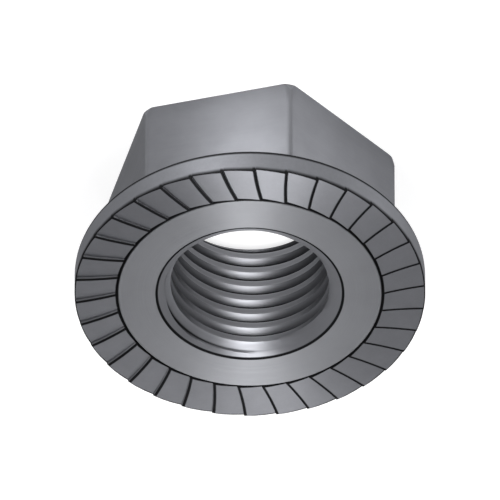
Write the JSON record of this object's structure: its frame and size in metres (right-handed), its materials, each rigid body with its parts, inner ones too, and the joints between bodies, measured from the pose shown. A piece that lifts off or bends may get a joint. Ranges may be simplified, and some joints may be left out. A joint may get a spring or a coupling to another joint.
{
  "type": "serrated flange nut",
  "caption": "Hexagon nut with a round flange whose bearing face has a plain inner ring, a relief groove and curved ratchet serrations; the threaded hole is countersunk at both ends.",
  "frame": {"origin": "centre of the hexagon's end face, on the thread axis; the nut stands on this face", "axes": "+Z along the thread axis towards the serrated bearing face; two flats of the hexagon face +Y and -Y, two of its edges point along +X and -X"},
  "size_m": [0.019, 0.019, 0.0084],
  "materials": {
    "steel": "plain case-hardened steel, satin, mid grey"
  },
  "bodies": {
    "root": {"flange_nut": "steel"}
  },
  "joints": []
}
